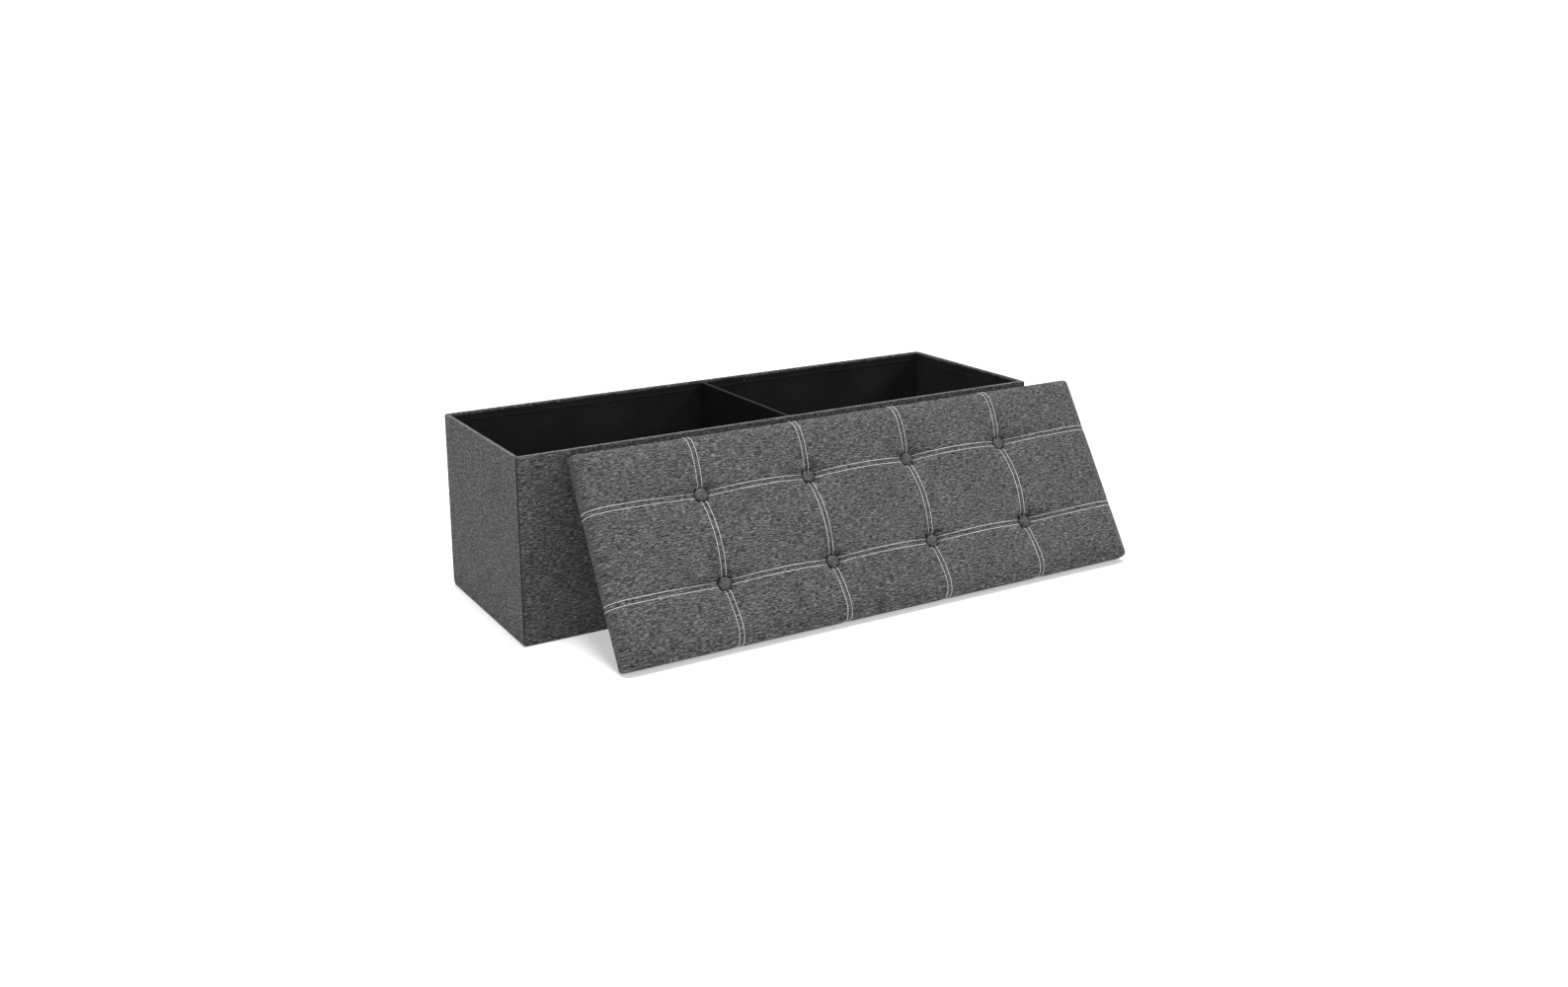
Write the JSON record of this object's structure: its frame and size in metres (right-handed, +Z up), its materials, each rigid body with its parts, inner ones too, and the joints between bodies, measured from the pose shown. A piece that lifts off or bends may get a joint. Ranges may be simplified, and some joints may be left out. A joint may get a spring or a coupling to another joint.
{
  "type": "folding storage bench",
  "caption": "Long fabric-covered storage box that folds flat between its long walls, with a divider, loose base boards and a loose, button-tufted padded lid leaning on its front.",
  "frame": {"origin": "on the floor under the middle of the open box", "axes": "+X along the bench's length, +Y from the side where the lid leans to the back, +Z up"},
  "size_m": [1.192, 0.6023, 0.342],
  "materials": {
    "outer_fabric": "matte",
    "lining": "matte",
    "ribbon": "satin",
    "foam": "matte",
    "board": "matte",
    "tie_metal": "satin"
  },
  "bodies": {
    "front_wall": {"front_board": "board", "front_cover": "outer_fabric", "front_lining": "lining", "bottom_cloth": "lining", "hem_front": "outer_fabric", "hem_back": "outer_fabric", "hem_left": "outer_fabric", "hem_right": "outer_fabric"},
    "left_front_leaf": {"left_front_board": "board", "left_front_cover": "outer_fabric", "left_front_lining": "lining"},
    "left_rear_leaf": {"left_rear_board": "board", "left_rear_cover": "outer_fabric", "left_rear_lining": "lining"},
    "right_front_leaf": {"right_front_board": "board", "right_front_cover": "outer_fabric", "right_front_lining": "lining"},
    "right_rear_leaf": {"right_rear_board": "board", "right_rear_cover": "outer_fabric", "right_rear_lining": "lining"},
    "back_wall": {"back_board": "board", "back_cover": "outer_fabric", "back_lining": "lining"},
    "divider_front_leaf": {"divider_front_board": "board", "divider_front_cover": "lining"},
    "divider_rear_leaf": {"divider_rear_board": "board", "divider_rear_cover": "lining"},
    "left_base": {"left_base_board": "board", "left_base_cover": "lining", "left_base_ribbon": "ribbon"},
    "right_base": {"right_base_board": "board", "right_base_cover": "lining", "right_base_ribbon": "ribbon"},
    "lid": {"lid_cover": "outer_fabric", "lid_foam": "foam", "lid_board": "board", "lid_underside": "lining", "lid_strip_upper": "lining", "lid_strip_lower": "lining", "lid_strip_left": "lining", "lid_strip_right": "lining", "button_1": "outer_fabric", "button_2": "outer_fabric", "button_3": "outer_fabric", "button_4": "outer_fabric", "button_5": "outer_fabric", "button_6": "outer_fabric", "button_7": "outer_fabric", "button_8": "outer_fabric", "button_tie_1": "tie_metal", "button_tie_2": "tie_metal", "button_tie_3": "tie_metal", "button_tie_4": "tie_metal", "button_tie_5": "tie_metal", "button_tie_6": "tie_metal", "button_tie_7": "tie_metal", "button_tie_8": "tie_metal"}
  },
  "joints": [
    {"name": "fold", "type": "hinge", "parent": "front_wall", "child": "left_front_leaf", "pos_m": [-0.5426, -0.1821, 0], "axis": [0, 0, -1], "range_deg": [0, 90]},
    {"name": "left_leaf_fold", "type": "hinge", "parent": "left_front_leaf", "child": "left_rear_leaf", "pos_m": [-0.55025, 0, 0], "axis": [0, 0, 1], "range_deg": [0, 180]},
    {"name": "back_wall_fold", "type": "hinge", "parent": "left_rear_leaf", "child": "back_wall", "pos_m": [-0.5426, 0.1821, 0], "axis": [0, 0, -1], "range_deg": [0, 90]},
    {"name": "right_front_fold", "type": "hinge", "parent": "front_wall", "child": "right_front_leaf", "pos_m": [0.5426, -0.1821, 0], "axis": [0, 0, 1], "range_deg": [0, 90]},
    {"name": "right_leaf_fold", "type": "hinge", "parent": "right_front_leaf", "child": "right_rear_leaf", "pos_m": [0.55025, 0, 0], "axis": [0, 0, -1], "range_deg": [0, 180]},
    {"name": "divider_front_fold", "type": "hinge", "parent": "front_wall", "child": "divider_front_leaf", "pos_m": [-0.0038, -0.1821, 0], "axis": [0, 0, 1], "range_deg": [0, 90]},
    {"name": "divider_leaf_fold", "type": "hinge", "parent": "divider_front_leaf", "child": "divider_rear_leaf", "pos_m": [0.00385, 0, 0], "axis": [0, 0, -1], "range_deg": [0, 180]},
    {"name": "lid_lift", "type": "slide", "parent": "front_wall", "child": "lid", "axis": [0, 0, 1], "range_m": [0, 0.4]},
    {"name": "left_base_lift", "type": "slide", "parent": "front_wall", "child": "left_base", "axis": [0, 0, 1], "range_m": [0, 0.36]},
    {"name": "right_base_lift", "type": "slide", "parent": "front_wall", "child": "right_base", "axis": [0, 0, 1], "range_m": [0, 0.36]}
  ],
  "couplings": [
    {"joint": "left_leaf_fold", "follows": "fold", "ratio": 2},
    {"joint": "back_wall_fold", "follows": "fold", "ratio": 1},
    {"joint": "right_front_fold", "follows": "fold", "ratio": 1},
    {"joint": "right_leaf_fold", "follows": "fold", "ratio": 2},
    {"joint": "divider_front_fold", "follows": "fold", "ratio": 1},
    {"joint": "divider_leaf_fold", "follows": "fold", "ratio": 2}
  ]
}
